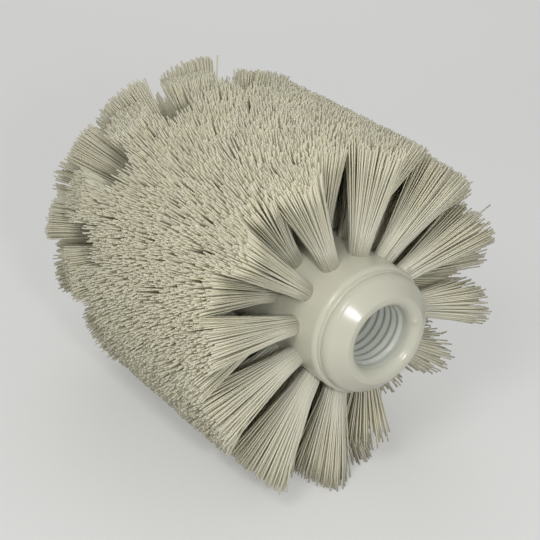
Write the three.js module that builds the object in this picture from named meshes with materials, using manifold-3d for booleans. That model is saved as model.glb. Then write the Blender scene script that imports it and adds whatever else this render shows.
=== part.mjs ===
// A screw-on toilet brush head, lying on its side. Millimetres, +Z up.
// +X runs along the screw axis, out of the socket's mouth. The floor is z = 0.

import * as THREE from "three";
import { mergeVertices } from "three/addons/utils/BufferGeometryUtils.js";
import Module from "manifold-3d";

const wasm = await Module();
wasm.setup();

// Hub: a collar with a conical nose round the mouth, then a barrel that carries the tufts, then a
// rounded end
const barrelRadius = 13.9;
const noseRadius = 9.55;
const noseSlope = 41.4;
const noseRound = 2.5;
const collarLength = 9.1;
const collarSeamBack = 4.5;
const collarSeamStep = 0.9;
const collarSeamRun = 1.4;
const barrelEnd = 56.6;
const shoulderRadius = 12.2;
const shoulderEnd = 62.1;
const crownRadius = 8.6;
const crownEnd = 66.2;
const endFaceRadius = 4.4;
const hubLength = 68.1;
const tuftHoleDepth = 4.9;
const coreRadius = barrelRadius - tuftHoleDepth;
const coreEnd = 57.6;

// Socket: a shallow moulded thread of coarse metric size and pitch, behind a rounded lip
const threadMajor = 14;
const threadPitch = 2;
const threadDepth = 0.7;
const threadCrestFlat = 1 / 4;
const threadRootFlat = 1 / 8;
const threadLength = 15;
const drillRelief = 0.1;
const boreDepth = 20;
const lipWidth = 1.75;
const lipDepth = 2.6;

// Tufts: staggered rings along the barrel, then rings round the end
const tuftsPerRing = 12;
const barrelRings = 6;
const firstRing = 12.6;
const ringSpacing = 8;
const brushRadius = 37.9;
const shoulderTuftLean = 17;
const shoulderTuftLength = 25.4;
const crownTuftLean = 41;
const crownTuftLength = 28.8;
const capTufts = 8;
const capTuftLean = 65;
const capTuftLength = 30.5;
const poleTufts = 4;
const poleTuftRadius = 3.3;
const poleTuftLean = 81;
const poleTuftLength = 30.5;

// Strands: each stands for a bundle of filaments and flares towards its tip
const strandSides = 3;
const strandRoot = 0.45;
const barrelStrandTip = 2.2;
const endStrandTip = 1.6;
const barrelRootOffset = 1.2;
const endRootOffset = 0.7;
const strandTipOffset = 4.6;
const strandsRoundBarrelTuft = 4;
const strandsRoundEndTuft = 3;
const strandRootDepth = 1.5;
const floorFlat = 0.5;

// Anchors: flat wire strips across the folds of the tufts
const anchoredRings = 4;
const anchorLength = 4.6;
const anchorHeight = 1.6;
const anchorThickness = 0.6;
const anchorBevel = 0.5;

const clearance = 0.3;
const quarters = 4;
const barrelSides = 2 * tuftsPerRing;
const collarSides = 48;
const threadSides = 24;
const threadRowsPerPitch = 6;
const cornerSteps = 5;
const cutMargin = 5;
const mergeTolerance = 1e-4;

const degree = Math.PI / 180;
const lyingAlongX = new THREE.Matrix4().makeRotationZ(-90 * degree);
const axisHeight = brushRadius - floorFlat;

const ivoryPlastic = new THREE.MeshStandardMaterial({ color: 0xd9d9cc, roughness: 0.3, metalness: 0 });
const creamBristle = new THREE.MeshStandardMaterial({ color: 0xc9c6b0, roughness: 0.45, metalness: 0 });
const anchorWire = new THREE.MeshStandardMaterial({ color: 0xb4b4ae, roughness: 0.35, metalness: 1 });

// Turns a closed three.js geometry into a solid that can be joined and cut
function solidOf(geometry) {
  const bare = new THREE.BufferGeometry();
  bare.setAttribute("position", geometry.getAttribute("position"));
  bare.setIndex(geometry.index);
  const merged = mergeVertices(bare, mergeTolerance);
  const corners = Array.from(merged.index.array);
  const triangles = [];
  for (let i = 0; i < corners.length; i += 3) {
    const triangle = corners.slice(i, i + 3);
    if (new Set(triangle).size === 3) {
      triangles.push(...triangle);
    }
  }
  const vertProperties = new Float32Array(merged.getAttribute("position").array);
  const triVerts = new Uint32Array(triangles);
  return new wasm.Manifold(new wasm.Mesh({ numProp: 3, vertProperties, triVerts }));
}

// Turns a solid back into a three.js geometry
function geometryOf(solid) {
  const { numProp, vertProperties, triVerts } = solid.getMesh();
  const geometry = new THREE.BufferGeometry();
  geometry.setAttribute("position", new THREE.BufferAttribute(vertProperties, numProp));
  geometry.setIndex(new THREE.BufferAttribute(triVerts, 1));
  geometry.computeVertexNormals();
  return geometry;
}

function namedMesh(name, geometry, material) {
  const mesh = new THREE.Mesh(geometry, material);
  mesh.name = name;
  return mesh;
}

// A turned solid about the screw axis. Each point is [radius, distance behind the mouth], and the
// radius is measured to the middle of the flats, so flats of one count nest with an even gap.
function turned(points, sides) {
  const toCorner = 1 / Math.cos(Math.PI / sides);
  const profile = points.map(([radius, back]) => new THREE.Vector2(radius * toCorner, -back));
  const lathe = new THREE.LatheGeometry(profile.reverse(), sides);
  return solidOf(lathe.applyMatrix4(lyingAlongX));
}

// Points on a rounded edge of a width and a depth, from its first angle to its last, about a centre
// [radius, back]
function roundedEdge([centreRadius, centreBack], [width, depth], fromDegrees, toDegrees) {
  const points = [];
  for (let step = 0; step <= cornerSteps; step += 1) {
    const angle = THREE.MathUtils.lerp(fromDegrees, toDegrees, step / cornerSteps) * degree;
    points.push([centreRadius + width * Math.cos(angle), centreBack - depth * Math.sin(angle)]);
  }
  return points;
}

function collarSolid() {
  const seamRadius = barrelRadius - collarSeamStep;
  const roundRadius = seamRadius - noseRound;
  const slope = noseSlope * degree;
  const roundBack = (roundRadius - noseRadius) * Math.tan(slope) + noseRound / Math.cos(slope);
  return turned([
    [0, 0],
    [noseRadius, 0],
    ...roundedEdge([roundRadius, roundBack], [noseRound, noseRound], 90 - noseSlope, 0),
    [seamRadius, collarSeamBack],
    [barrelRadius, collarSeamBack + collarSeamRun],
    [barrelRadius, collarLength],
    [0, collarLength],
  ], collarSides);
}

function coreSolid() {
  return turned([
    [0, collarLength - cutMargin],
    [coreRadius, collarLength - cutMargin],
    [coreRadius, coreEnd],
    [0, coreEnd],
  ], barrelSides);
}

// The drilled hole of the socket, just inside the thread's crests, with the rounded lip
function boreCutter() {
  const majorRadius = threadMajor / 2;
  const drillRadius = majorRadius - threadDepth - drillRelief;
  const lipRadius = majorRadius + lipWidth;
  return turned([
    [0, -cutMargin],
    [lipRadius, -cutMargin],
    ...roundedEdge([lipRadius, lipDepth], [lipWidth, lipDepth], 90, 180),
    [drillRadius, lipDepth + threadDepth],
    [drillRadius, boreDepth],
    [0, boreDepth],
  ], threadSides);
}

// Share of the thread's depth at a place along one pitch: a flat crest, a flank, a flat root, a flank
function threadShare(turns) {
  const fromCrest = Math.abs(turns - Math.floor(turns) - 0.5);
  const flank = (1 - threadCrestFlat - threadRootFlat) / 2;
  return THREE.MathUtils.clamp((fromCrest - threadCrestFlat / 2) / flank, 0, 1);
}

// The screw that leaves the thread behind: a turned bar whose skin rises and falls along a helix
function threadCutter() {
  const minorRadius = threadMajor / 2 - threadDepth;
  const rows = Math.round(threadLength / threadPitch * threadRowsPerPitch);
  const profile = [new THREE.Vector2(0, -lipDepth - threadLength)];
  for (let row = 0; row <= rows; row += 1) {
    profile.push(new THREE.Vector2(minorRadius, -lipDepth - threadLength * (1 - row / rows)));
  }
  profile.push(new THREE.Vector2(0, -lipDepth));
  const lathe = new THREE.LatheGeometry(profile, threadSides);
  const place = lathe.getAttribute("position");
  const point = new THREE.Vector3();
  for (let i = 0; i < place.count; i += 1) {
    point.fromBufferAttribute(place, i);
    const radius = Math.hypot(point.x, point.z);
    if (radius > minorRadius / 2) {
      const turn = Math.atan2(point.x, point.z) / (2 * Math.PI);
      const share = threadShare(point.y / threadPitch - turn);
      const stretch = (minorRadius + threadDepth * share) / radius;
      place.setXYZ(i, point.x * stretch, point.y, point.z * stretch);
    }
  }
  return solidOf(lathe.applyMatrix4(lyingAlongX));
}

function hubMesh() {
  const solid = collarSolid().add(coreSolid()).subtract(boreCutter()).subtract(threadCutter());
  return namedMesh("hub", geometryOf(solid), ivoryPlastic);
}

// The outer layer of the barrel, with the rounded end, before it is cut into quarters
function barrelShell() {
  const innerRadius = coreRadius + clearance;
  return turned([
    [innerRadius, collarLength + clearance],
    [barrelRadius, collarLength + clearance],
    [barrelRadius, barrelEnd],
    [shoulderRadius, shoulderEnd],
    [crownRadius, crownEnd],
    [endFaceRadius, hubLength],
    [0, hubLength],
    [0, coreEnd + clearance],
    [innerRadius, coreEnd + clearance],
    [innerRadius, collarLength + clearance],
  ], barrelSides);
}

// Where each tuft stands: its angle about the axis from +Z towards -Y, the radius and distance behind
// the mouth of its root, its lean away from the mouth, its free length, its strands and its ring
function ringOfTufts(ring, count, offsetDegrees, seat) {
  const tufts = [];
  for (let i = 0; i < count; i += 1) {
    tufts.push({ ...seat, ring, angle: (offsetDegrees + i * 360 / count) * degree });
  }
  return tufts;
}

// A seat in the middle of one band of the hub's end, between two [radius, back] edges of that band
function endSeat([frontRadius, frontBack], [rearRadius, rearBack], leanDegrees, length) {
  return {
    radius: (frontRadius + rearRadius) / 2,
    back: (frontBack + rearBack) / 2,
    lean: leanDegrees * degree,
    length,
    rootOffset: endRootOffset,
    strandTip: endStrandTip,
    strandsRound: strandsRoundEndTuft,
    strandInMiddle: 0,
  };
}

// Every other ring is turned by one column, so that the tufts stand in a staggered pattern. The shoulder
// stands in the columns of the barrel's last ring, and the crown in the columns between them.
function staggered(ring) {
  const column = 360 / barrelSides;
  return column / 2 + (ring % 2 === 0 ? column : 0);
}

function allTufts() {
  const tufts = [];
  for (let ring = 0; ring < barrelRings; ring += 1) {
    tufts.push(...ringOfTufts(ring, tuftsPerRing, staggered(ring), {
      radius: barrelRadius,
      back: firstRing + ring * ringSpacing,
      lean: 0,
      length: brushRadius - barrelRadius,
      rootOffset: barrelRootOffset,
      strandTip: barrelStrandTip,
      strandsRound: strandsRoundBarrelTuft,
      strandInMiddle: 1,
    }));
  }
  const barrelEdge = [barrelRadius, barrelEnd];
  const shoulderEdge = [shoulderRadius, shoulderEnd];
  const crownEdge = [crownRadius, crownEnd];
  const capEdge = [endFaceRadius, hubLength];
  const pole = [poleTuftRadius, hubLength];
  const shoulderSeat = endSeat(barrelEdge, shoulderEdge, shoulderTuftLean, shoulderTuftLength);
  const crownSeat = endSeat(shoulderEdge, crownEdge, crownTuftLean, crownTuftLength);
  const capSeat = endSeat(crownEdge, capEdge, capTuftLean, capTuftLength);
  const poleSeat = endSeat(pole, pole, poleTuftLean, poleTuftLength);
  tufts.push(...ringOfTufts(barrelRings, tuftsPerRing, staggered(barrelRings - 1), shoulderSeat));
  tufts.push(...ringOfTufts(barrelRings + 1, tuftsPerRing, staggered(barrelRings), crownSeat));
  tufts.push(...ringOfTufts(barrelRings + 2, capTufts, 180 / capTufts, capSeat));
  tufts.push(...ringOfTufts(barrelRings + 3, poleTufts, 180 / poleTufts, poleSeat));
  return tufts;
}

// The tuft's own directions: along its strands, round the axis, and square to both
function tuftDirections(tuft) {
  const outward = new THREE.Vector3(0, -Math.sin(tuft.angle), Math.cos(tuft.angle));
  const backward = new THREE.Vector3(-1, 0, 0);
  const along = outward.clone().multiplyScalar(Math.cos(tuft.lean));
  along.addScaledVector(backward, Math.sin(tuft.lean));
  const around = new THREE.Vector3().crossVectors(backward, outward);
  const across = new THREE.Vector3().crossVectors(along, around);
  const root = outward.clone().multiplyScalar(tuft.radius).addScaledVector(backward, tuft.back);
  return { root, along, around, across };
}

// The strand's section: a plain polygon, as wide as the strand is at its root
function strandSection() {
  const corners = [];
  for (let i = 0; i < strandSides; i += 1) {
    const angle = i * 2 * Math.PI / strandSides;
    corners.push(new THREE.Vector2(strandRoot * Math.cos(angle), strandRoot * Math.sin(angle)));
  }
  return new THREE.Shape(corners);
}

// A straight strand from its root to its tip, flared evenly along its length
function strandBetween(start, end, strandTip) {
  const span = new THREE.Vector3().subVectors(end, start);
  const length = span.length();
  const strand = new THREE.ExtrudeGeometry(strandSection(), { depth: length, bevelEnabled: false });
  const place = strand.getAttribute("position");
  for (let i = 0; i < place.count; i += 1) {
    const flare = THREE.MathUtils.lerp(1, strandTip / strandRoot, place.getZ(i) / length);
    place.setXY(i, flare * place.getX(i), flare * place.getY(i));
  }
  const depthDirection = new THREE.Vector3(0, 0, 1);
  strand.applyQuaternion(new THREE.Quaternion().setFromUnitVectors(depthDirection, span.normalize()));
  strand.translate(start.x, start.y, start.z);
  return solidOf(strand);
}

// The strands spread round the tuft and lean outwards, and one more, if there is one, stands in the
// middle. The barrel's tips lie on the brush's round outline, as trimmed bristles do.
function tuftStrands(tuft) {
  const { root, along, around, across } = tuftDirections(tuft);
  const strands = [];
  for (let i = 0; i < tuft.strandsRound + tuft.strandInMiddle; i += 1) {
    const turn = i * 360 / tuft.strandsRound * degree;
    const spread = i < tuft.strandsRound ? 1 : 0;
    const sideways = around.clone().multiplyScalar(spread * Math.cos(turn));
    sideways.addScaledVector(across, spread * Math.sin(turn));
    const reach = tuft.radius + tuft.length;
    const tipSide = strandTipOffset * spread * Math.cos(turn);
    const trimmed = Math.sqrt(reach * reach - tipSide * tipSide) - tuft.radius;
    const slope = (strandTipOffset - tuft.rootOffset) / tuft.length;
    const start = root.clone().addScaledVector(along, -strandRootDepth);
    start.addScaledVector(sideways, tuft.rootOffset - slope * strandRootDepth);
    const end = root.clone().addScaledVector(along, trimmed).addScaledVector(sideways, strandTipOffset);
    strands.push(strandBetween(start, end, tuft.strandTip));
  }
  return strands;
}

// A box that spans one quarter of the brush about its axis, short of the quarter's two sides
function quarterBox(quarter) {
  const size = brushRadius;
  const box = new THREE.BoxGeometry(2 * hubLength, size, size);
  const middle = size / 2 + clearance / 2;
  box.translate(-hubLength / 2, -middle, middle);
  box.rotateX(quarter * 360 / quarters * degree);
  return solidOf(box);
}

// The slab of floor that the lowest strands are trimmed flat against
function floorSlab() {
  const length = 4 * brushRadius;
  const slab = new THREE.BoxGeometry(2 * length, length, cutMargin);
  slab.translate(0, 0, -axisHeight - cutMargin / 2);
  return solidOf(slab);
}

// Puts a shape made about the middle of an anchor's lower edge, with +Z outwards, under its tuft
function underTuft(tuft, geometry) {
  geometry.translate(-tuft.back, 0, coreRadius + clearance);
  geometry.rotateX(tuft.angle);
  return geometry;
}

// The anchor lies along the axis, on edge, with its ends bevelled where they bite into the hole
function anchorGeometry(tuft) {
  const halfLength = anchorLength / 2;
  const outline = new THREE.Shape();
  outline.moveTo(-halfLength + anchorBevel, 0);
  outline.lineTo(halfLength - anchorBevel, 0);
  outline.lineTo(halfLength, anchorBevel);
  outline.lineTo(halfLength, anchorHeight);
  outline.lineTo(-halfLength, anchorHeight);
  outline.lineTo(-halfLength, anchorBevel);
  outline.closePath();
  const strip = new THREE.ExtrudeGeometry(outline, { depth: anchorThickness, bevelEnabled: false });
  strip.translate(0, 0, -anchorThickness / 2);
  strip.rotateX(90 * degree);
  return underTuft(tuft, strip);
}

// The pocket under a tuft, open towards the core, that its anchor sits in
function anchorPocket(tuft) {
  const length = anchorLength + 2 * clearance;
  const thickness = anchorThickness + 2 * clearance;
  const height = anchorHeight + 2 * clearance;
  const pocket = new THREE.BoxGeometry(length, thickness, height);
  pocket.translate(0, 0, anchorHeight / 2);
  return solidOf(underTuft(tuft, pocket));
}

function anchorMeshes(tufts) {
  return tufts.map((tuft, index) => {
    const place = String(index % tuftsPerRing + 1).padStart(2, "0");
    const name = `anchor_ring${tuft.ring + 1}_${place}`;
    return namedMesh(name, anchorGeometry(tuft), anchorWire);
  });
}

// One quarter of the barrel's outer layer with its tufts, and pockets for the separate anchors
function bristleMesh(name, quarter, shell, tufts) {
  const turnPerQuarter = 2 * Math.PI / quarters;
  const own = tufts.filter((tuft) => Math.floor(tuft.angle / turnPerQuarter) === quarter);
  let solid = shell.intersect(quarterBox(quarter));
  for (const tuft of own) {
    if (tuft.ring < anchoredRings) {
      solid = solid.subtract(anchorPocket(tuft));
    }
    for (const strand of tuftStrands(tuft)) {
      solid = solid.add(strand);
    }
  }
  return namedMesh(name, geometryOf(solid.subtract(floorSlab())), creamBristle);
}

function brushHead() {
  const tufts = allTufts();
  const anchored = tufts.filter((tuft) => tuft.ring < anchoredRings);
  const shell = barrelShell();
  const names = ["bristles_upper_near", "bristles_lower_near", "bristles_lower_far", "bristles_upper_far"];
  const head = new THREE.Group();
  head.add(hubMesh());
  head.add(...names.map((name, quarter) => bristleMesh(name, quarter, shell, tufts)));
  head.add(...anchorMeshes(anchored));
  return head;
}

// Stands the head on the floor, with the middle of its length over the origin
const toiletBrushHead = brushHead();
const box = new THREE.Box3().setFromObject(toiletBrushHead);
toiletBrushHead.position.set(-(box.min.x + box.max.x) / 2, 0, axisHeight);

export default toiletBrushHead;
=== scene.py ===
from math import atan2, cos, hypot, pi, radians, sin, sqrt, tan, tau
from random import Random

import bmesh
import bpy
from bpy.props import FloatProperty, FloatVectorProperty, IntProperty, PointerProperty
from mathutils import Matrix, Vector


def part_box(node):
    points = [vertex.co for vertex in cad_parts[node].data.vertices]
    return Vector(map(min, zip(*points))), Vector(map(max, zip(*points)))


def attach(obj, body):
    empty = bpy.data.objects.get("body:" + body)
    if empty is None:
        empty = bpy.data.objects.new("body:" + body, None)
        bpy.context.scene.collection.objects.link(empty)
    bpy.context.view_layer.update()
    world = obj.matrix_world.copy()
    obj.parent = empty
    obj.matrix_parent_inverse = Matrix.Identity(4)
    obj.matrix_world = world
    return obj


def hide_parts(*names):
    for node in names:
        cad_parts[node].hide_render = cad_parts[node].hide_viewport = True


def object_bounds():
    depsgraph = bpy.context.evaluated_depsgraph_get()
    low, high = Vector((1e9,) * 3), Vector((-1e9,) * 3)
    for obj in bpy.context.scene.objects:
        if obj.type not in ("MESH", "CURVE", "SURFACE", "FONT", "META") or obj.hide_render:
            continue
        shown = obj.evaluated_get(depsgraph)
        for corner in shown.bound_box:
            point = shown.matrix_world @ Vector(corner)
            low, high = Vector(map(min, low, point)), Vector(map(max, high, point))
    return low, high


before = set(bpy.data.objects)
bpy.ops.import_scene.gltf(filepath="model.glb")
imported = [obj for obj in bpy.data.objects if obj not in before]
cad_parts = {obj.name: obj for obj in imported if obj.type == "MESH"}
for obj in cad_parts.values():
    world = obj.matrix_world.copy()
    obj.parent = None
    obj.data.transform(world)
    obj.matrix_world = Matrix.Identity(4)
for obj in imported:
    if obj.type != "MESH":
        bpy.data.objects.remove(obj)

bl_info = {
    "name": "Toilet Brush Head",
    "version": (1, 0, 0),
    "blender": (4, 5, 0),
    "location": "View3D > Sidebar > Brush Head",
    "description": "Dresses a screw-on toilet brush head: its moulded hub, bristle tufts and wire anchors",
    "category": "Mesh",
}

CAD_LOW, CAD_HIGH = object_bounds()
HUB_LOW, HUB_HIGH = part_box("hub")
MM = 0.001

# The middle of the socket's mouth. The screw axis runs through it along X.
MOUTH = Vector((HUB_HIGH.x, 0.0, (HUB_LOW.z + HUB_HIGH.z) / 2))
AXIS = Vector((1.0, 0.0, 0.0))

# Hub, as distances behind the mouth and radii about the screw axis
SOCKET_DEPTH = 20 * MM
DRILL_POINT = 1.6 * MM
THREAD_RADIUS = 7 * MM
THREAD_PITCH = 2 * MM
THREAD_DEPTH = 0.42 * MM
THREAD_START = 2 * MM
THREAD_END = 17.6 * MM
THREAD_START_ANGLE = radians(-20)
THREAD_RUN_IN_TURNS = 1.2
THREAD_STEPS_PER_TURN = 64
THREAD_BURIED = 0.1
LIP_WIDTH = 1.75 * MM
LIP_DEPTH = 2.6 * MM
NOSE_RADIUS = 9.55 * MM
NOSE_SLOPE = radians(41.4)
NOSE_ROUND = 2.5 * MM
RIM_ROUND = 0.6 * MM
SEAM_RADIUS = 13 * MM
SEAM_BACK = 4.5 * MM
SEAM_DEPTH = 0.12 * MM
NECK_END = 6.6 * MM
NECK_ROUND = 1.2 * MM
BARREL_END = 56.6 * MM
HUB_LENGTH = 68.1 * MM
HUB_STEPS = 160
HUB_MERGE = 0.002 * MM
HARD_EDGE = radians(50)

# A slanted direction, along which no two corners of the hub lie level
SORT_DIRECTION = Vector((1, sqrt(2), sqrt(3)))

# Each point of the thread's section: its share of the thread's depth and of the pitch
THREAD_SECTION = (
    (-THREAD_BURIED, -0.49), (0.2, -0.33), (0.75, -0.17), (1, 0),
    (0.75, 0.17), (0.2, 0.33), (-THREAD_BURIED, 0.49),
)

# Moulding flaws: flash along the seam underneath, and a nick on the lip, placed by its radius, its distance
# behind the mouth and its angle
FLASH_MIDDLE = radians(170)
FLASH_HALF_WIDTH = radians(42)
FLASH_HEIGHT = 0.8 * MM
FLASH_WAVES = 5
FLASH_WAVE_COUNTS = (9, 40)
NICK_PLACE = (7.7 * MM, 0.55 * MM, radians(-76))
NICK_REACH = 0.9 * MM
NICK_HEIGHT = 0.4 * MM

# Tufts: staggered rings along the barrel, then rings round the rounded end. The rings behind the first
# spread further and close up.
FIRST_RING = 12.6 * MM
RING_SPACING = 8 * MM
BARREL_RINGS = 6
TUFTS_PER_RING = 12
FIRST_RING_SPREAD = 1.0
INNER_RING_SPREAD = 1.22
QUARTERS = ("upper_near", "lower_near", "lower_far", "upper_far")

# The rings round the end: tufts, first angle, root radius, root distance, lean away from the mouth, length
# and share of the barrel tufts' spread
END_RINGS = (
    (12, radians(7.5), 13.05 * MM, 59.35 * MM, radians(17), 24.8 * MM, 1.0),
    (12, radians(22.5), 10.4 * MM, 64.15 * MM, radians(41), 27.8 * MM, 1.0),
    (8, radians(22.5), 6.5 * MM, 67.15 * MM, radians(65), 30.5 * MM, 1.25),
    (4, radians(45), 3.3 * MM, 68.1 * MM, radians(81), 30.5 * MM, 1.25),
)

# Filaments: each runs through its stations, given as shares of its length. Bends and waves are multiples of
# the waviness, the powers say how late along a filament it fans out or bends, and the scatters and ranges
# limit the random draws.
FILAMENT_SIDES = 3
STATIONS = (-0.08, 0.22, 0.5, 0.77, 1.0)
GOLDEN_ANGLE = pi * (3 - sqrt(5))
CLUMPS_PER_TUFT = 9
CLUMP_PULL = 0.1
AXIAL_SPREAD = 1.45
FAN_POWER = 1.08
LOOSE_BEND = 1.5
LOOSE_POWER = 2
STRAY_BEND = 7
STRAY_POWER = 4
WAVE_HEIGHT = 0.45
WAVE_COUNTS = (0.5, 1.3)
LENGTH_SCATTER = 0.7 * MM
TILT_SCATTER = 0.03
TONE_SCATTER = 0.08
TUFT_TONE_SCATTER = 0.05
TUFT_SPREAD_RANGE = (0.92, 1.08)
THICKNESS_RANGE = (0.93, 1.07)

# Tufts worn or pressed out of shape, by ring and place: share of the full length, lean against the place's
# turn, share of the full spread, share of the filaments left
WORN_TUFTS = {
    (0, 6): (0.65, 0.28, 0.95, 0.4),
    (0, 7): (0.68, -0.1, 1.0, 0.45),
    (0, 8): (0.81, 0.0, 0.85, 0.7),
    (0, 9): (0.91, 0.0, 0.95, 0.8),
    (0, 10): (0.95, 0.0, 0.95, 1.0),
    (1, 7): (0.72, 0.05, 0.7, 0.5),
    (1, 8): (0.62, 0.0, 0.6, 0.5),
}

# Tufts with one filament that was never trimmed, by ring and place: how far it stands out
STRAGGLERS = {(0, 5): 3 * MM, (0, 8): 4 * MM, (0, 9): 6 * MM}

# Stage. The lift is the share of the floor's colour that is added where the floor is seen.
FLOOR_HALF_WIDTH = 1.5
FLOOR_LIFT = 0.5
AMBIENT_LIGHT = 0.3

# The lamps: azimuth and elevation in degrees, distance, width and height in metres, power in watts
LAMPS = (
    ("key_softbox", 36, 42, 0.4, 0.12, 0.12, 0.38),
    ("fill_softbox", 67, 24.5, 0.36, 0.03, 0.03, 0.34),
    ("back_softbox", 240, 40, 0.7, 0.5, 0.5, 0.95),
)


class BrushHeadSizes(bpy.types.PropertyGroup):
    """Sizes of the brush head that a user would change"""

    barrel_radius: FloatProperty(
        name="Barrel radius", description="Radius of the hub where the tufts stand",
        default=13.9 * MM, min=0.008, max=0.03, unit="LENGTH", precision=5)
    brush_radius: FloatProperty(
        name="Brush radius", description="Radius that the barrel's bristles are trimmed to",
        default=37.9 * MM, min=0.02, max=0.08, unit="LENGTH", precision=5)
    filament_diameter: FloatProperty(
        name="Filament diameter", description="Thickness of one bristle filament",
        default=0.4 * MM, min=0.0001, max=0.001, unit="LENGTH", precision=5)
    filaments_per_tuft: IntProperty(
        name="Filaments per tuft", description="Number of filaments in each tuft",
        default=265, min=12, max=275)
    tuft_root_radius: FloatProperty(
        name="Tuft root radius", description="Radius of a tuft where it leaves the hub",
        default=1.95 * MM, min=0.0005, max=0.004, unit="LENGTH", precision=5)
    tuft_tip_radius: FloatProperty(
        name="Tuft tip radius", description="Radius that a tuft has spread to at its tips",
        default=5.6 * MM, min=0.001, max=0.012, unit="LENGTH", precision=5)
    waviness: FloatProperty(
        name="Waviness", description="How far filaments wander from a straight line",
        default=0.32 * MM, min=0.0, max=0.003, unit="LENGTH", precision=5)
    stray_share: FloatProperty(
        name="Stray share", description="Share of the filaments that are bent well out of their tuft",
        default=0.02, min=0.0, max=0.2, subtype="FACTOR")
    seed: IntProperty(
        name="Seed", description="Start of the random draws that vary the filaments",
        default=7, min=0)


class BrushHeadFinishes(bpy.types.PropertyGroup):
    """Colours of the brush head and of its stage"""

    hub_colour: FloatVectorProperty(
        name="Hub", description="Ivory of the moulded hub",
        default=(0.66, 0.652, 0.535), min=0, max=1, subtype="COLOR")
    # Serves the hub's mottle and also the painted shade that tints its socket
    hub_mottle_and_painted_shade_colour: FloatVectorProperty(
        name="Hub shade", description="Greyer ivory that mottles the hub and fills its socket",
        default=(0.71, 0.745, 0.695), min=0, max=1, subtype="COLOR")
    bristle_colour: FloatVectorProperty(
        name="Bristle", description="Cream of most filaments",
        default=(0.85, 0.815, 0.635), min=0, max=1, subtype="COLOR")
    # Also the painted light that makes the roots paler
    pale_bristle_and_painted_root_light_colour: FloatVectorProperty(
        name="Pale bristle", description="Paler cream of the lightest filaments and the roots",
        default=(0.9, 0.88, 0.755), min=0, max=1, subtype="COLOR")
    # Also the painted shade that dulls the tips
    dull_bristle_and_painted_tip_shade_colour: FloatVectorProperty(
        name="Dull bristle", description="Duller cream of the darkest filaments",
        default=(0.78, 0.735, 0.54), min=0, max=1, subtype="COLOR")
    wire_colour: FloatVectorProperty(
        name="Anchor wire", description="Grey of the drawn anchor wire",
        default=(0.6, 0.6, 0.58), min=0, max=1, subtype="COLOR")
    floor_colour: FloatVectorProperty(
        name="Floor", description="Pale floor under the brush head",
        default=(0.58, 0.58, 0.57), min=0, max=1, subtype="COLOR")


class BrushHeadCamera(bpy.types.PropertyGroup):
    """Where the camera stands, seen from the socket's mouth, and what it frames"""

    azimuth: FloatProperty(
        name="Azimuth", description="Turn of the camera about Z, from the -Y side towards +X",
        default=radians(48.99), subtype="ANGLE")
    elevation: FloatProperty(
        name="Elevation", description="Height of the camera above the mouth, as an angle",
        default=radians(29.3), subtype="ANGLE")
    roll: FloatProperty(
        name="Roll", description="Turn of the camera about its line of sight",
        default=radians(4.36), subtype="ANGLE")
    distance: FloatProperty(
        name="Distance", description="Distance from the socket's mouth to the camera",
        default=280.95 * MM, min=0.05, unit="LENGTH")
    focal_length: FloatProperty(
        name="Focal length", description="Focal length in millimetres",
        default=93.98, min=10, unit="CAMERA")
    picture_width: IntProperty(
        name="Picture width", description="Width and height of the picture in pixels",
        default=540, min=16, subtype="PIXEL")
    mouth_pixel: FloatVectorProperty(
        name="Mouth pixel",
        description="Where the middle of the mouth falls in the picture, from its top left",
        default=(386.25, 341.27), size=2)


def at(radius, back, angle=0.0):
    """The point at a radius and distance behind the mouth, at an angle from +Z towards -Y."""
    return MOUTH + Vector((-back, -radius * sin(angle), radius * cos(angle)))


def round_about(point):
    """The radius, distance behind the mouth and angle of a point."""
    offset = point - MOUTH
    return hypot(offset.y, offset.z), -offset.x, atan2(-offset.y, offset.z)


def smooth_step(value):
    value = min(max(value, 0.0), 1.0)
    return value * value * (3 - 2 * value)


def arc(centre, reach, start, end, steps):
    """Points [radius, back] on an elliptical arc about a centre, between two angles from the outside."""
    points = []
    for step in range(steps + 1):
        angle = start + (end - start) * step / steps
        points.append((centre[0] + reach[0] * cos(angle), centre[1] - reach[1] * sin(angle)))
    return points


def finish_piece(bm, name, material, nodes):
    """Turns a bmesh into a piece that rides on the brush head and stands for its CAD nodes."""
    mesh = bpy.data.meshes.new(name)
    bm.to_mesh(mesh)
    bm.free()
    mesh.materials.append(material)
    piece = bpy.data.objects.new(name, mesh)
    bpy.context.scene.collection.objects.link(piece)
    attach(piece, "root")
    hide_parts(*nodes)


# Materials

def new_finish(name, roughness):
    """An empty procedural finish with a plain roughness: the material, its tree and its shader."""
    material = bpy.data.materials.new(name)
    material.use_nodes = True
    tree = material.node_tree
    shader = tree.nodes["Principled BSDF"]
    shader.inputs["Roughness"].default_value = roughness
    return material, tree, shader


def add_noise(tree, scale, detail, stretch=(1, 1, 1)):
    """Noise on Object coordinates, with a scale in features per metre; gives its Factor socket."""
    place = tree.nodes.new("ShaderNodeTexCoord")
    mapping = tree.nodes.new("ShaderNodeMapping")
    noise = tree.nodes.new("ShaderNodeTexNoise")
    mapping.inputs["Scale"].default_value = stretch
    noise.inputs["Scale"].default_value = scale
    noise.inputs["Detail"].default_value = detail
    tree.links.new(place.outputs["Object"], mapping.inputs["Vector"])
    tree.links.new(mapping.outputs["Vector"], noise.inputs["Vector"])
    return noise.outputs["Fac"]


def add_attribute(tree, name):
    """Reads a value that is stored on the mesh."""
    reader = tree.nodes.new("ShaderNodeAttribute")
    reader.attribute_name = name
    return reader.outputs["Fac"]


def add_range(tree, value, low, high, new_low, new_high):
    """Spreads a value from one range over another, clamped."""
    spread = tree.nodes.new("ShaderNodeMapRange")
    limits = {"From Min": low, "From Max": high, "To Min": new_low, "To Max": new_high}
    for socket, number in limits.items():
        spread.inputs[socket].default_value = number
    tree.links.new(value, spread.inputs["Value"])
    return spread.outputs["Result"]


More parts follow.
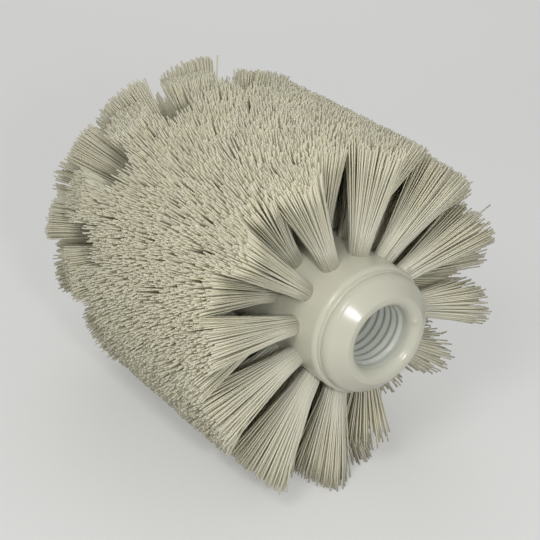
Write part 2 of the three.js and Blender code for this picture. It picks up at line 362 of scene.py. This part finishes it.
def add_mix(tree, factor, first, second):
    """Mixes two colours, each a fixed colour or the socket of an earlier mix."""
    mix = tree.nodes.new("ShaderNodeMix")
    mix.data_type = "RGBA"
    tree.links.new(factor, mix.inputs["Factor"])
    for socket, colour in ((mix.inputs[6], first), (mix.inputs[7], second)):
        if isinstance(colour, bpy.types.NodeSocket):
            tree.links.new(colour, socket)
        else:
            socket.default_value = (*colour, 1)
    return mix.outputs[2]


def add_bump(tree, shader, height, depth, strength):
    bump = tree.nodes.new("ShaderNodeBump")
    bump.inputs["Strength"].default_value = strength
    bump.inputs["Distance"].default_value = depth
    tree.links.new(height, bump.inputs["Height"])
    tree.links.new(bump.outputs["Normal"], shader.inputs["Normal"])


def hub_finish(finishes):
    """Glossy ivory plastic, faintly mottled, with painted cool shade in its socket and a slight moulded
    ripple.
    """
    material, tree, shader = new_finish("hub_ivory_plastic", 0.3)
    mottle = add_range(tree, add_noise(tree, 140, 4), 0.35, 0.7, 0.0, 0.04)
    colour = add_mix(tree, mottle, finishes.hub_colour, finishes.hub_mottle_and_painted_shade_colour)
    # Painted shade: deeper in the socket the ivory gives way to the greyer, cooler shade colour
    socket = add_range(tree, add_attribute(tree, "socket"), 0, 1, 0, 0.8)
    colour = add_mix(tree, socket, colour, finishes.hub_mottle_and_painted_shade_colour)
    tree.links.new(colour, shader.inputs["Base Color"])
    gloss = add_range(tree, add_noise(tree, 420, 3), 0.3, 0.7, 0.2, 0.26)
    tree.links.new(gloss, shader.inputs["Roughness"])
    add_bump(tree, shader, add_noise(tree, 900, 2), 0.03 * MM, 0.15)
    shader.inputs["IOR"].default_value = 1.49
    shader.inputs["Subsurface Weight"].default_value = 0.12
    shader.inputs["Subsurface Radius"].default_value = (1.0, 0.9, 0.7)
    shader.inputs["Subsurface Scale"].default_value = 1.5 * MM
    return material


def bristle_finish(finishes):
    """Satin cream filament, faintly translucent and each of its own tone, with painted light at roots and
    shade at tips.
    """
    material, tree, shader = new_finish("bristle_cream_filament", 0.4)
    tone = add_attribute(tree, "tone")
    colour = add_mix(tree, add_range(tree, tone, 0, 0.5, 0, 1), finishes.dull_bristle_and_painted_tip_shade_colour,
                     finishes.bristle_colour)
    colour = add_mix(tree, add_range(tree, tone, 0.5, 1, 0, 1), colour, finishes.pale_bristle_and_painted_root_light_colour)
    # Painted light and shade along each filament: roots painted paler, tips painted duller, evening out the
    # lighting along the tufts
    reach = add_attribute(tree, "reach")
    colour = add_mix(tree, add_range(tree, reach, 0, 0.6, 0.9, 0), colour, finishes.pale_bristle_and_painted_root_light_colour)
    colour = add_mix(tree, add_range(tree, reach, 0.6, 1, 0, 0.4), colour, finishes.dull_bristle_and_painted_tip_shade_colour)
    streak = add_range(tree, add_noise(tree, 260, 3), 0.4, 0.75, 0, 0.25)
    colour = add_mix(tree, streak, colour, finishes.pale_bristle_and_painted_root_light_colour)
    tree.links.new(colour, shader.inputs["Base Color"])
    satin = add_range(tree, add_noise(tree, 700, 2), 0.3, 0.7, 0.4, 0.55)
    tree.links.new(satin, shader.inputs["Roughness"])
    shader.inputs["IOR"].default_value = 1.49
    shader.inputs["Specular IOR Level"].default_value = 0.25
    shader.inputs["Subsurface Weight"].default_value = 0.2
    shader.inputs["Subsurface Radius"].default_value = (1.0, 0.95, 0.8)
    shader.inputs["Subsurface Scale"].default_value = 0.4 * MM
    return material


def wire_finish(finishes):
    """Drawn steel wire: fine lines along its length in colour and gloss."""
    material, tree, shader = new_finish("anchor_drawn_wire", 0.35)
    lines = add_noise(tree, 900, 4, stretch=(0.05, 1, 1))
    dark = tuple(0.7 * part for part in finishes.wire_colour)
    tree.links.new(add_mix(tree, lines, dark, finishes.wire_colour), shader.inputs["Base Color"])
    tree.links.new(add_range(tree, lines, 0.3, 0.7, 0.25, 0.45), shader.inputs["Roughness"])
    shader.inputs["Metallic"].default_value = 1
    return material


def floor_finish(finishes):
    """Matt pale studio floor with a barely visible cloudiness, lifted where it is seen."""
    material, tree, shader = new_finish("pale_studio_floor", 0.9)
    cloud = add_range(tree, add_noise(tree, 6, 2), 0.3, 0.7, 0, 1)
    dimmer = tuple(0.97 * part for part in finishes.floor_colour)
    tree.links.new(add_mix(tree, cloud, finishes.floor_colour, dimmer), shader.inputs["Base Color"])
    shader.inputs["Specular IOR Level"].default_value = 0.2
    shader.inputs["Emission Color"].default_value = (*finishes.floor_colour, 1)
    path = tree.nodes.new("ShaderNodeLightPath")
    seen = path.outputs["Is Camera Ray"]
    for ray in ("Is Glossy Ray", "Is Transmission Ray"):
        either = tree.nodes.new("ShaderNodeMath")
        either.operation = "MAXIMUM"
        tree.links.new(seen, either.inputs[0])
        tree.links.new(path.outputs[ray], either.inputs[1])
        seen = either.outputs["Value"]
    tree.links.new(add_range(tree, seen, 0, 1, 0, FLOOR_LIFT), shader.inputs["Emission Strength"])
    return material


# Hub

def wall_radius(back):
    """Radius of the socket's bare wall: a rounded lip, then a straight hole."""
    inset = max(LIP_DEPTH - back, 0) / LIP_DEPTH
    return THREAD_RADIUS + LIP_WIDTH * (1 - sqrt(1 - inset ** 2))


def hub_profile(barrel_radius):
    """Half of the hub's section, from the bottom of the socket over the nose to its far end."""
    lip_centre = (THREAD_RADIUS + LIP_WIDTH, LIP_DEPTH)
    rim_centre = (NOSE_RADIUS - RIM_ROUND * (1 - cos(NOSE_SLOPE)) / sin(NOSE_SLOPE), RIM_ROUND)
    round_radius = SEAM_RADIUS - NOSE_ROUND
    round_back = (round_radius - NOSE_RADIUS) * tan(NOSE_SLOPE) + NOSE_ROUND / cos(NOSE_SLOPE)
    nose_turn = pi / 2 - NOSE_SLOPE
    neck_reach = (barrel_radius - SEAM_RADIUS - SEAM_DEPTH, NECK_ROUND)
    dome = (barrel_radius, HUB_LENGTH - BARREL_END)
    return [
        (0, SOCKET_DEPTH + DRILL_POINT),
        (THREAD_RADIUS, SOCKET_DEPTH),
        *arc(lip_centre, (LIP_WIDTH, LIP_DEPTH), pi, pi / 2, 14),
        *arc(rim_centre, (RIM_ROUND, RIM_ROUND), pi / 2, nose_turn, 5),
        *arc((round_radius, round_back), (NOSE_ROUND, NOSE_ROUND), nose_turn, 0, 8),
        (SEAM_RADIUS, SEAM_BACK - SEAM_DEPTH),
        (SEAM_RADIUS - SEAM_DEPTH, SEAM_BACK),
        (SEAM_RADIUS + SEAM_DEPTH, SEAM_BACK + 2 * SEAM_DEPTH),
        *arc((SEAM_RADIUS + SEAM_DEPTH, NECK_END), neck_reach, pi / 2, 0, 5),
        *arc((0, BARREL_END), dome, 0, -pi / 2, 18),
    ]


def add_thread(bm):
    """Winds the thread's ridge down the socket, rising out of the lip over its first turn."""
    section = []
    for share, along in THREAD_SECTION:
        back = THREAD_START + along * THREAD_PITCH
        section.append(bm.verts.new(at(THREAD_RADIUS - share * THREAD_DEPTH, back, THREAD_START_ANGLE)))
    face = bm.faces.new(section)
    before = set(bm.verts) - set(section)
    turns = (THREAD_END - THREAD_START) / THREAD_PITCH
    steps = round(turns * THREAD_STEPS_PER_TURN)
    advance = THREAD_PITCH / THREAD_STEPS_PER_TURN
    bmesh.ops.spin(
        bm, geom=[face], cent=MOUTH, axis=-AXIS, dvec=-AXIS * advance,
        angle=tau * steps / THREAD_STEPS_PER_TURN, steps=steps)
    ridge = [vert for vert in bm.verts if vert not in before]
    for vert in ridge:
        radius, back, angle = round_about(vert.co)
        part_turn = (THREAD_START_ANGLE - angle) / tau % 1
        whole_turns = round((back - THREAD_START) / THREAD_PITCH - part_turn)
        run = whole_turns + part_turn
        height = smooth_step(run / THREAD_RUN_IN_TURNS) * smooth_step((turns - run) / THREAD_RUN_IN_TURNS)
        share = (THREAD_RADIUS - radius) / THREAD_DEPTH
        buried = min(share, 0) + max(share, 0) * height - THREAD_BURIED * (1 - height)
        vert.co = at(wall_radius(max(back, 0)) - buried * THREAD_DEPTH, max(back, 0), angle)


def roughen_moulding(bm, chance):
    """Gives the hub its moulding flaws: flash along the seam underneath and a nick on the lip."""
    nick = at(*NICK_PLACE)
    waves = [(chance.uniform(*FLASH_WAVE_COUNTS), chance.uniform(0, tau)) for _ in range(FLASH_WAVES)]
    for vert in bm.verts:
        radius, back, angle = round_about(vert.co)
        if radius > SEAM_RADIUS and SEAM_BACK < back <= NECK_END:
            off_middle = abs((angle - FLASH_MIDDLE + pi) % tau - pi)
            ragged = sum(sin(count * angle + phase) for count, phase in waves) / len(waves)
            grow = FLASH_HEIGHT * smooth_step(1 - off_middle / FLASH_HALF_WIDTH) * (0.8 + 0.5 * ragged)
            share = smooth_step((back - SEAM_BACK) / (NECK_END - SEAM_BACK))
            vert.co = at(radius + grow * share, back, angle)
        bump = smooth_step(1 - (vert.co - nick).length / NICK_REACH)
        vert.co += AXIS * (bump * NICK_HEIGHT)


def fix_order(bm):
    """Sorts the corners and faces by their places, because spin leaves them in no fixed order."""
    bm.verts.sort(key=lambda vert: vert.co.dot(SORT_DIRECTION))
    bm.faces.sort(key=lambda face: face.calc_center_median().dot(SORT_DIRECTION))


def build_hub(sizes, finishes):
    """Turns the hub's section about the screw axis, then adds its flaws and its thread."""
    bm = bmesh.new()
    verts = [bm.verts.new(at(radius, back)) for radius, back in hub_profile(sizes.barrel_radius)]
    edges = [bm.edges.new(pair) for pair in zip(verts, verts[1:])]
    bmesh.ops.spin(
        bm, geom=verts + edges, cent=MOUTH, axis=AXIS, angle=tau, steps=HUB_STEPS, use_merge=True)
    bmesh.ops.remove_doubles(bm, verts=bm.verts, dist=HUB_MERGE)
    roughen_moulding(bm, Random(sizes.seed))
    add_thread(bm)
    fix_order(bm)
    bmesh.ops.recalc_face_normals(bm, faces=bm.faces)
    for edge in bm.edges:
        edge.smooth = edge.calc_face_angle(0) < HARD_EDGE
    # Painted shade in the socket: a weight that grows from the lip down into the bore
    socket = bm.verts.layers.float.new("socket")
    for vert in bm.verts:
        radius, back, _ = round_about(vert.co)
        inside = 1 if radius < THREAD_RADIUS + LIP_WIDTH and back < SOCKET_DEPTH + 2 * DRILL_POINT else 0
        vert[socket] = inside * smooth_step(back / (2 * LIP_DEPTH))
    for face in bm.faces:
        face.smooth = True
    finish_piece(bm, "hub_moulding", hub_finish(finishes), ["hub"])


# Tufts

class Tuft:
    """A tuft's place on the hub, its own directions, and how it has worn."""

    def __init__(self, place, angle, radius, back, lean, length, spread):
        outward = Vector((0, -sin(angle), cos(angle)))
        self.angle = angle
        self.radius = radius
        self.length = length
        self.wear, self.press, worn_spread, self.left = WORN_TUFTS.get(place, (1.0, 0.0, 1.0, 1.0))
        self.spread = spread * worn_spread
        self.straggler = STRAGGLERS.get(place, 0.0)
        self.trimmed_round = lean == 0
        self.root = at(radius, back, angle)
        self.along = outward * cos(lean) - AXIS * sin(lean)
        self.around = outward.cross(AXIS)
        self.across = self.along.cross(self.around)


class Filament:
    """One filament: the points that it runs through, its headings there, its radius and its tone."""

    def __init__(self, points, radius, tone):
        self.points = points
        self.radius = radius
        self.tone = tone
        last = len(points) - 1
        self.headings = [points[min(i + 1, last)] - points[max(i - 1, 0)] for i in range(len(points))]


def all_tufts(sizes):
    """Every tuft, ring by ring from the mouth."""
    tufts = []
    column = tau / (2 * TUFTS_PER_RING)
    for ring in range(BARREL_RINGS):
        first = column * (1.5 if ring % 2 == 0 else 0.5)
        for place in range(TUFTS_PER_RING):
            angle = first + 2 * column * place
            back = FIRST_RING + ring * RING_SPACING
            length = sizes.brush_radius - sizes.barrel_radius
            spread = FIRST_RING_SPREAD if ring == 0 else INNER_RING_SPREAD
            tufts.append(Tuft((ring, place), angle, sizes.barrel_radius, back, 0, length, spread))
    for ring, (count, first, *shape) in enumerate(END_RINGS, BARREL_RINGS):
        for place in range(count):
            tufts.append(Tuft((ring, place), first + tau * place / count, *shape))
    return tufts


def disc_point(chance):
    """A random point in a circle of radius 1."""
    angle, reach = chance.uniform(0, tau), sqrt(chance.random())
    return Vector((reach * cos(angle), reach * sin(angle)))


def tuft_filaments(tuft, sizes, chance):
    """Fans a tuft's filaments out from its hole, in loose clumps, each a little wavy."""
    count = round(sizes.filaments_per_tuft * tuft.left)
    clumps = [disc_point(chance) for _ in range(CLUMPS_PER_TUFT)]
    tilt = Vector((chance.gauss(tuft.press, TILT_SCATTER), chance.gauss(0, TILT_SCATTER)))
    spread = sizes.tuft_tip_radius * tuft.spread * Vector((1, AXIAL_SPREAD))
    spread = spread * chance.uniform(*TUFT_SPREAD_RANGE)
    turn = chance.uniform(0, tau)
    tuft_tone = chance.gauss(0, TUFT_TONE_SCATTER)
    filaments = []
    for index in range(count):
        reach = sqrt((index + 0.5) / count)
        angle = turn + index * GOLDEN_ANGLE
        seat = Vector((reach * cos(angle), reach * sin(angle)))
        nearest = min(clumps, key=lambda clump: (clump - seat).length)
        tip = seat + (nearest - seat) * CLUMP_PULL
        tip = Vector((tip.x * spread.x, tip.y * spread.y)) + tilt * tuft.length
        stray = chance.random() < sizes.stray_share
        bend = disc_point(chance) * sizes.waviness * (STRAY_BEND if stray else LOOSE_BEND)
        wave = disc_point(chance) * sizes.waviness * WAVE_HEIGHT
        wave_count, wave_phase = chance.uniform(*WAVE_COUNTS), chance.uniform(0, tau)
        reach_round = tuft.radius + tuft.length
        trimmed = sqrt(reach_round ** 2 - tip.x ** 2) - tuft.radius if tuft.trimmed_round else tuft.length
        length = trimmed * tuft.wear - abs(chance.gauss(0, LENGTH_SCATTER))
        length += tuft.straggler if index == 0 else 0
        radius = sizes.filament_diameter / 2 * chance.uniform(*THICKNESS_RANGE)
        root = seat * (sizes.tuft_root_radius - radius)
        points = []
        for station in STATIONS:
            out = max(station, 0)
            side = root.lerp(tip, out ** FAN_POWER)
            side += bend * out ** (STRAY_POWER if stray else LOOSE_POWER)
            side += wave * out * sin(tau * wave_count * out + wave_phase)
            point = tuft.root + tuft.along * (station * length)
            point = point + tuft.around * side.x + tuft.across * side.y
            point.z = max(point.z, radius)
            points.append(point)
        tone = min(max(chance.gauss(0.5, TONE_SCATTER) + tuft_tone, 0), 1)
        filaments.append(Filament(points, radius, tone))
    return filaments


def draw_filaments(bm, filaments):
    """Starts a small face at each filament's root and extrudes them all, station by station."""
    number = bm.faces.layers.int.new("number")
    tone = bm.verts.layers.float.new("tone")
    # Share along the filament, which the finish uses to paint light at the roots and shade at the tips
    reach = bm.verts.layers.float.new("reach")
    turns = [tau * side / FILAMENT_SIDES for side in range(FILAMENT_SIDES)]
    corners = [Vector((cos(angle), sin(angle), 0)) for angle in turns]
    for index, filament in enumerate(filaments):
        turn = filament.headings[0].to_track_quat("Z", "Y")
        rim = [bm.verts.new(filament.points[0] + turn @ (corner * filament.radius)) for corner in corners]
        for vert in rim:
            vert[tone] = filament.tone
        bm.faces.new(rim)[number] = index
    tips = bm.faces[:]
    for station in range(1, len(STATIONS)):
        tips = bmesh.ops.extrude_discrete_faces(bm, faces=tips)["faces"]
        for tip in tips:
            filament = filaments[tip[number]]
            turn = filament.headings[station - 1].rotation_difference(filament.headings[station])
            for vert in tip.verts:
                vert.co = filament.points[station] + turn @ (vert.co - filament.points[station - 1])
                vert[reach] = STATIONS[station]
    bm.faces.layers.int.remove(number)
    open_ends = [edge for edge in bm.edges if edge.is_boundary]
    bmesh.ops.holes_fill(bm, edges=open_ends, sides=FILAMENT_SIDES)
    bmesh.ops.recalc_face_normals(bm, faces=bm.faces)
    for face in bm.faces:
        face.smooth = True


def build_tufts(sizes, finishes):
    """One piece for each quarter of the brush, as the CAD nodes are split."""
    material = bristle_finish(finishes)
    chance = Random(sizes.seed + 1)
    quarters = [[] for _ in QUARTERS]
    for tuft in all_tufts(sizes):
        quarter = int(tuft.angle / tau * len(QUARTERS))
        quarters[quarter].extend(tuft_filaments(tuft, sizes, chance))
    for name, filaments in zip(QUARTERS, quarters):
        bm = bmesh.new()
        draw_filaments(bm, filaments)
        finish_piece(bm, f"tufts_{name}", material, [f"bristles_{name}"])


# Anchors

def finish_anchors(finishes):
    material = wire_finish(finishes)
    for name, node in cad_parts.items():
        if name.startswith("anchor_"):
            node.data.materials.clear()
            node.data.materials.append(material)


# Stage

def place_camera(settings):
    """Stands the camera off the mouth and turns it until the mouth falls on its pixel."""
    camera = bpy.data.cameras.new("photo_camera")
    camera.lens = settings.focal_length
    camera.clip_start = 0.01
    focal_pixels = settings.focal_length / camera.sensor_width * settings.picture_width
    azimuth, elevation = settings.azimuth, settings.elevation
    towards = Vector((sin(azimuth) * cos(elevation), -cos(azimuth) * cos(elevation), sin(elevation)))
    right = Vector((cos(azimuth), sin(azimuth), 0))
    sight = Matrix((right, towards.cross(right), towards)).transposed()
    middle = settings.picture_width / 2
    across, down = (pixel - middle for pixel in settings.mouth_pixel)
    ray = Vector((across / focal_pixels, -down / focal_pixels, -1))
    aim = ray.rotation_difference(Vector((0, 0, -1))).to_matrix()
    turn = sight @ Matrix.Rotation(settings.roll, 3, "Z") @ aim
    camera_object = bpy.data.objects.new("photo_camera", camera)
    camera_object.matrix_world = Matrix.Translation(MOUTH + towards * settings.distance) @ turn.to_4x4()
    bpy.context.scene.collection.objects.link(camera_object)
    bpy.context.scene.camera = camera_object


def place_lamp(name, azimuth, elevation, distance, width, height, power):
    """A soft rectangular lamp aimed at the middle of the brush head."""
    lamp = bpy.data.lights.new(name, "AREA")
    lamp.shape = "RECTANGLE"
    lamp.size, lamp.size_y = width, height
    lamp.energy = power
    azimuth, elevation = radians(azimuth), radians(elevation)
    towards = Vector((sin(azimuth) * cos(elevation), -cos(azimuth) * cos(elevation), sin(elevation)))
    middle = (CAD_LOW + CAD_HIGH) / 2
    lamp_object = bpy.data.objects.new(name, lamp)
    turn = towards.to_track_quat("Z", "Y").to_matrix().to_4x4()
    lamp_object.matrix_world = Matrix.Translation(middle + towards * distance) @ turn
    bpy.context.scene.collection.objects.link(lamp_object)


def light_world():
    """Even ambient light from all round."""
    world = bpy.data.worlds.new("studio_world")
    world.use_nodes = True
    tree = world.node_tree
    ambient = tree.nodes["Background"]
    ambient.inputs["Color"].default_value = (1, 1, 1, 1)
    ambient.inputs["Strength"].default_value = AMBIENT_LIGHT
    bpy.context.scene.world = world


def build_stage(finishes, camera):
    bpy.context.scene.view_settings.view_transform = "Standard"
    place_camera(camera)
    light_world()
    for lamp in LAMPS:
        place_lamp(*lamp)
    bm = bmesh.new()
    bmesh.ops.create_grid(bm, x_segments=8, y_segments=8, size=FLOOR_HALF_WIDTH)
    mesh = bpy.data.meshes.new("studio_floor")
    bm.to_mesh(mesh)
    bm.free()
    mesh.materials.append(floor_finish(finishes))
    floor = bpy.data.objects.new("studio_floor", mesh)
    bpy.context.scene.collection.objects.link(floor)


class BRUSHHEAD_OT_stage(bpy.types.Operator):
    """Set up the camera, the soft lamps and the pale floor"""
    bl_idname = "brush_head.stage"
    bl_label = "Set Up Stage"

    def execute(self, context):
        build_stage(context.scene.brush_head_finishes, context.scene.brush_head_camera)
        return {"FINISHED"}


class BRUSHHEAD_OT_hub(bpy.types.Operator):
    """Turn the hub with its threaded socket"""
    bl_idname = "brush_head.hub"
    bl_label = "Build Hub"

    def execute(self, context):
        build_hub(context.scene.brush_head_sizes, context.scene.brush_head_finishes)
        return {"FINISHED"}


class BRUSHHEAD_OT_tufts(bpy.types.Operator):
    """Draw the filaments of every tuft"""
    bl_idname = "brush_head.tufts"
    bl_label = "Build Tufts"

    def execute(self, context):
        build_tufts(context.scene.brush_head_sizes, context.scene.brush_head_finishes)
        return {"FINISHED"}


class BRUSHHEAD_OT_anchors(bpy.types.Operator):
    """Give the anchors their drawn wire finish"""
    bl_idname = "brush_head.anchors"
    bl_label = "Finish Anchors"

    def execute(self, context):
        finish_anchors(context.scene.brush_head_finishes)
        return {"FINISHED"}


class VIEW3D_PT_brush_head(bpy.types.Panel):
    """Sizes, finishes and build steps of the brush head"""
    bl_idname = "VIEW3D_PT_brush_head"
    bl_label = "Brush Head"
    bl_space_type = "VIEW_3D"
    bl_region_type = "UI"
    bl_category = "Brush Head"

    def draw(self, context):
        scene = context.scene
        for group in (scene.brush_head_sizes, scene.brush_head_finishes, scene.brush_head_camera):
            for name in group.__annotations__:
                self.layout.prop(group, name)
        for operator in OPERATORS:
            self.layout.operator(operator.bl_idname)


OPERATORS = (BRUSHHEAD_OT_stage, BRUSHHEAD_OT_hub, BRUSHHEAD_OT_tufts, BRUSHHEAD_OT_anchors)
CLASSES = (BrushHeadSizes, BrushHeadFinishes, BrushHeadCamera, *OPERATORS, VIEW3D_PT_brush_head)


def register():
    for cls in CLASSES:
        bpy.utils.register_class(cls)
    bpy.types.Scene.brush_head_sizes = PointerProperty(type=BrushHeadSizes)
    bpy.types.Scene.brush_head_finishes = PointerProperty(type=BrushHeadFinishes)
    bpy.types.Scene.brush_head_camera = PointerProperty(type=BrushHeadCamera)


def unregister():
    del bpy.types.Scene.brush_head_camera
    del bpy.types.Scene.brush_head_finishes
    del bpy.types.Scene.brush_head_sizes
    for cls in reversed(CLASSES):
        bpy.utils.unregister_class(cls)


def main():
    register()
    bpy.ops.brush_head.stage()
    bpy.ops.brush_head.hub()
    bpy.ops.brush_head.tufts()
    bpy.ops.brush_head.anchors()


if __name__ == "__main__":
    main()
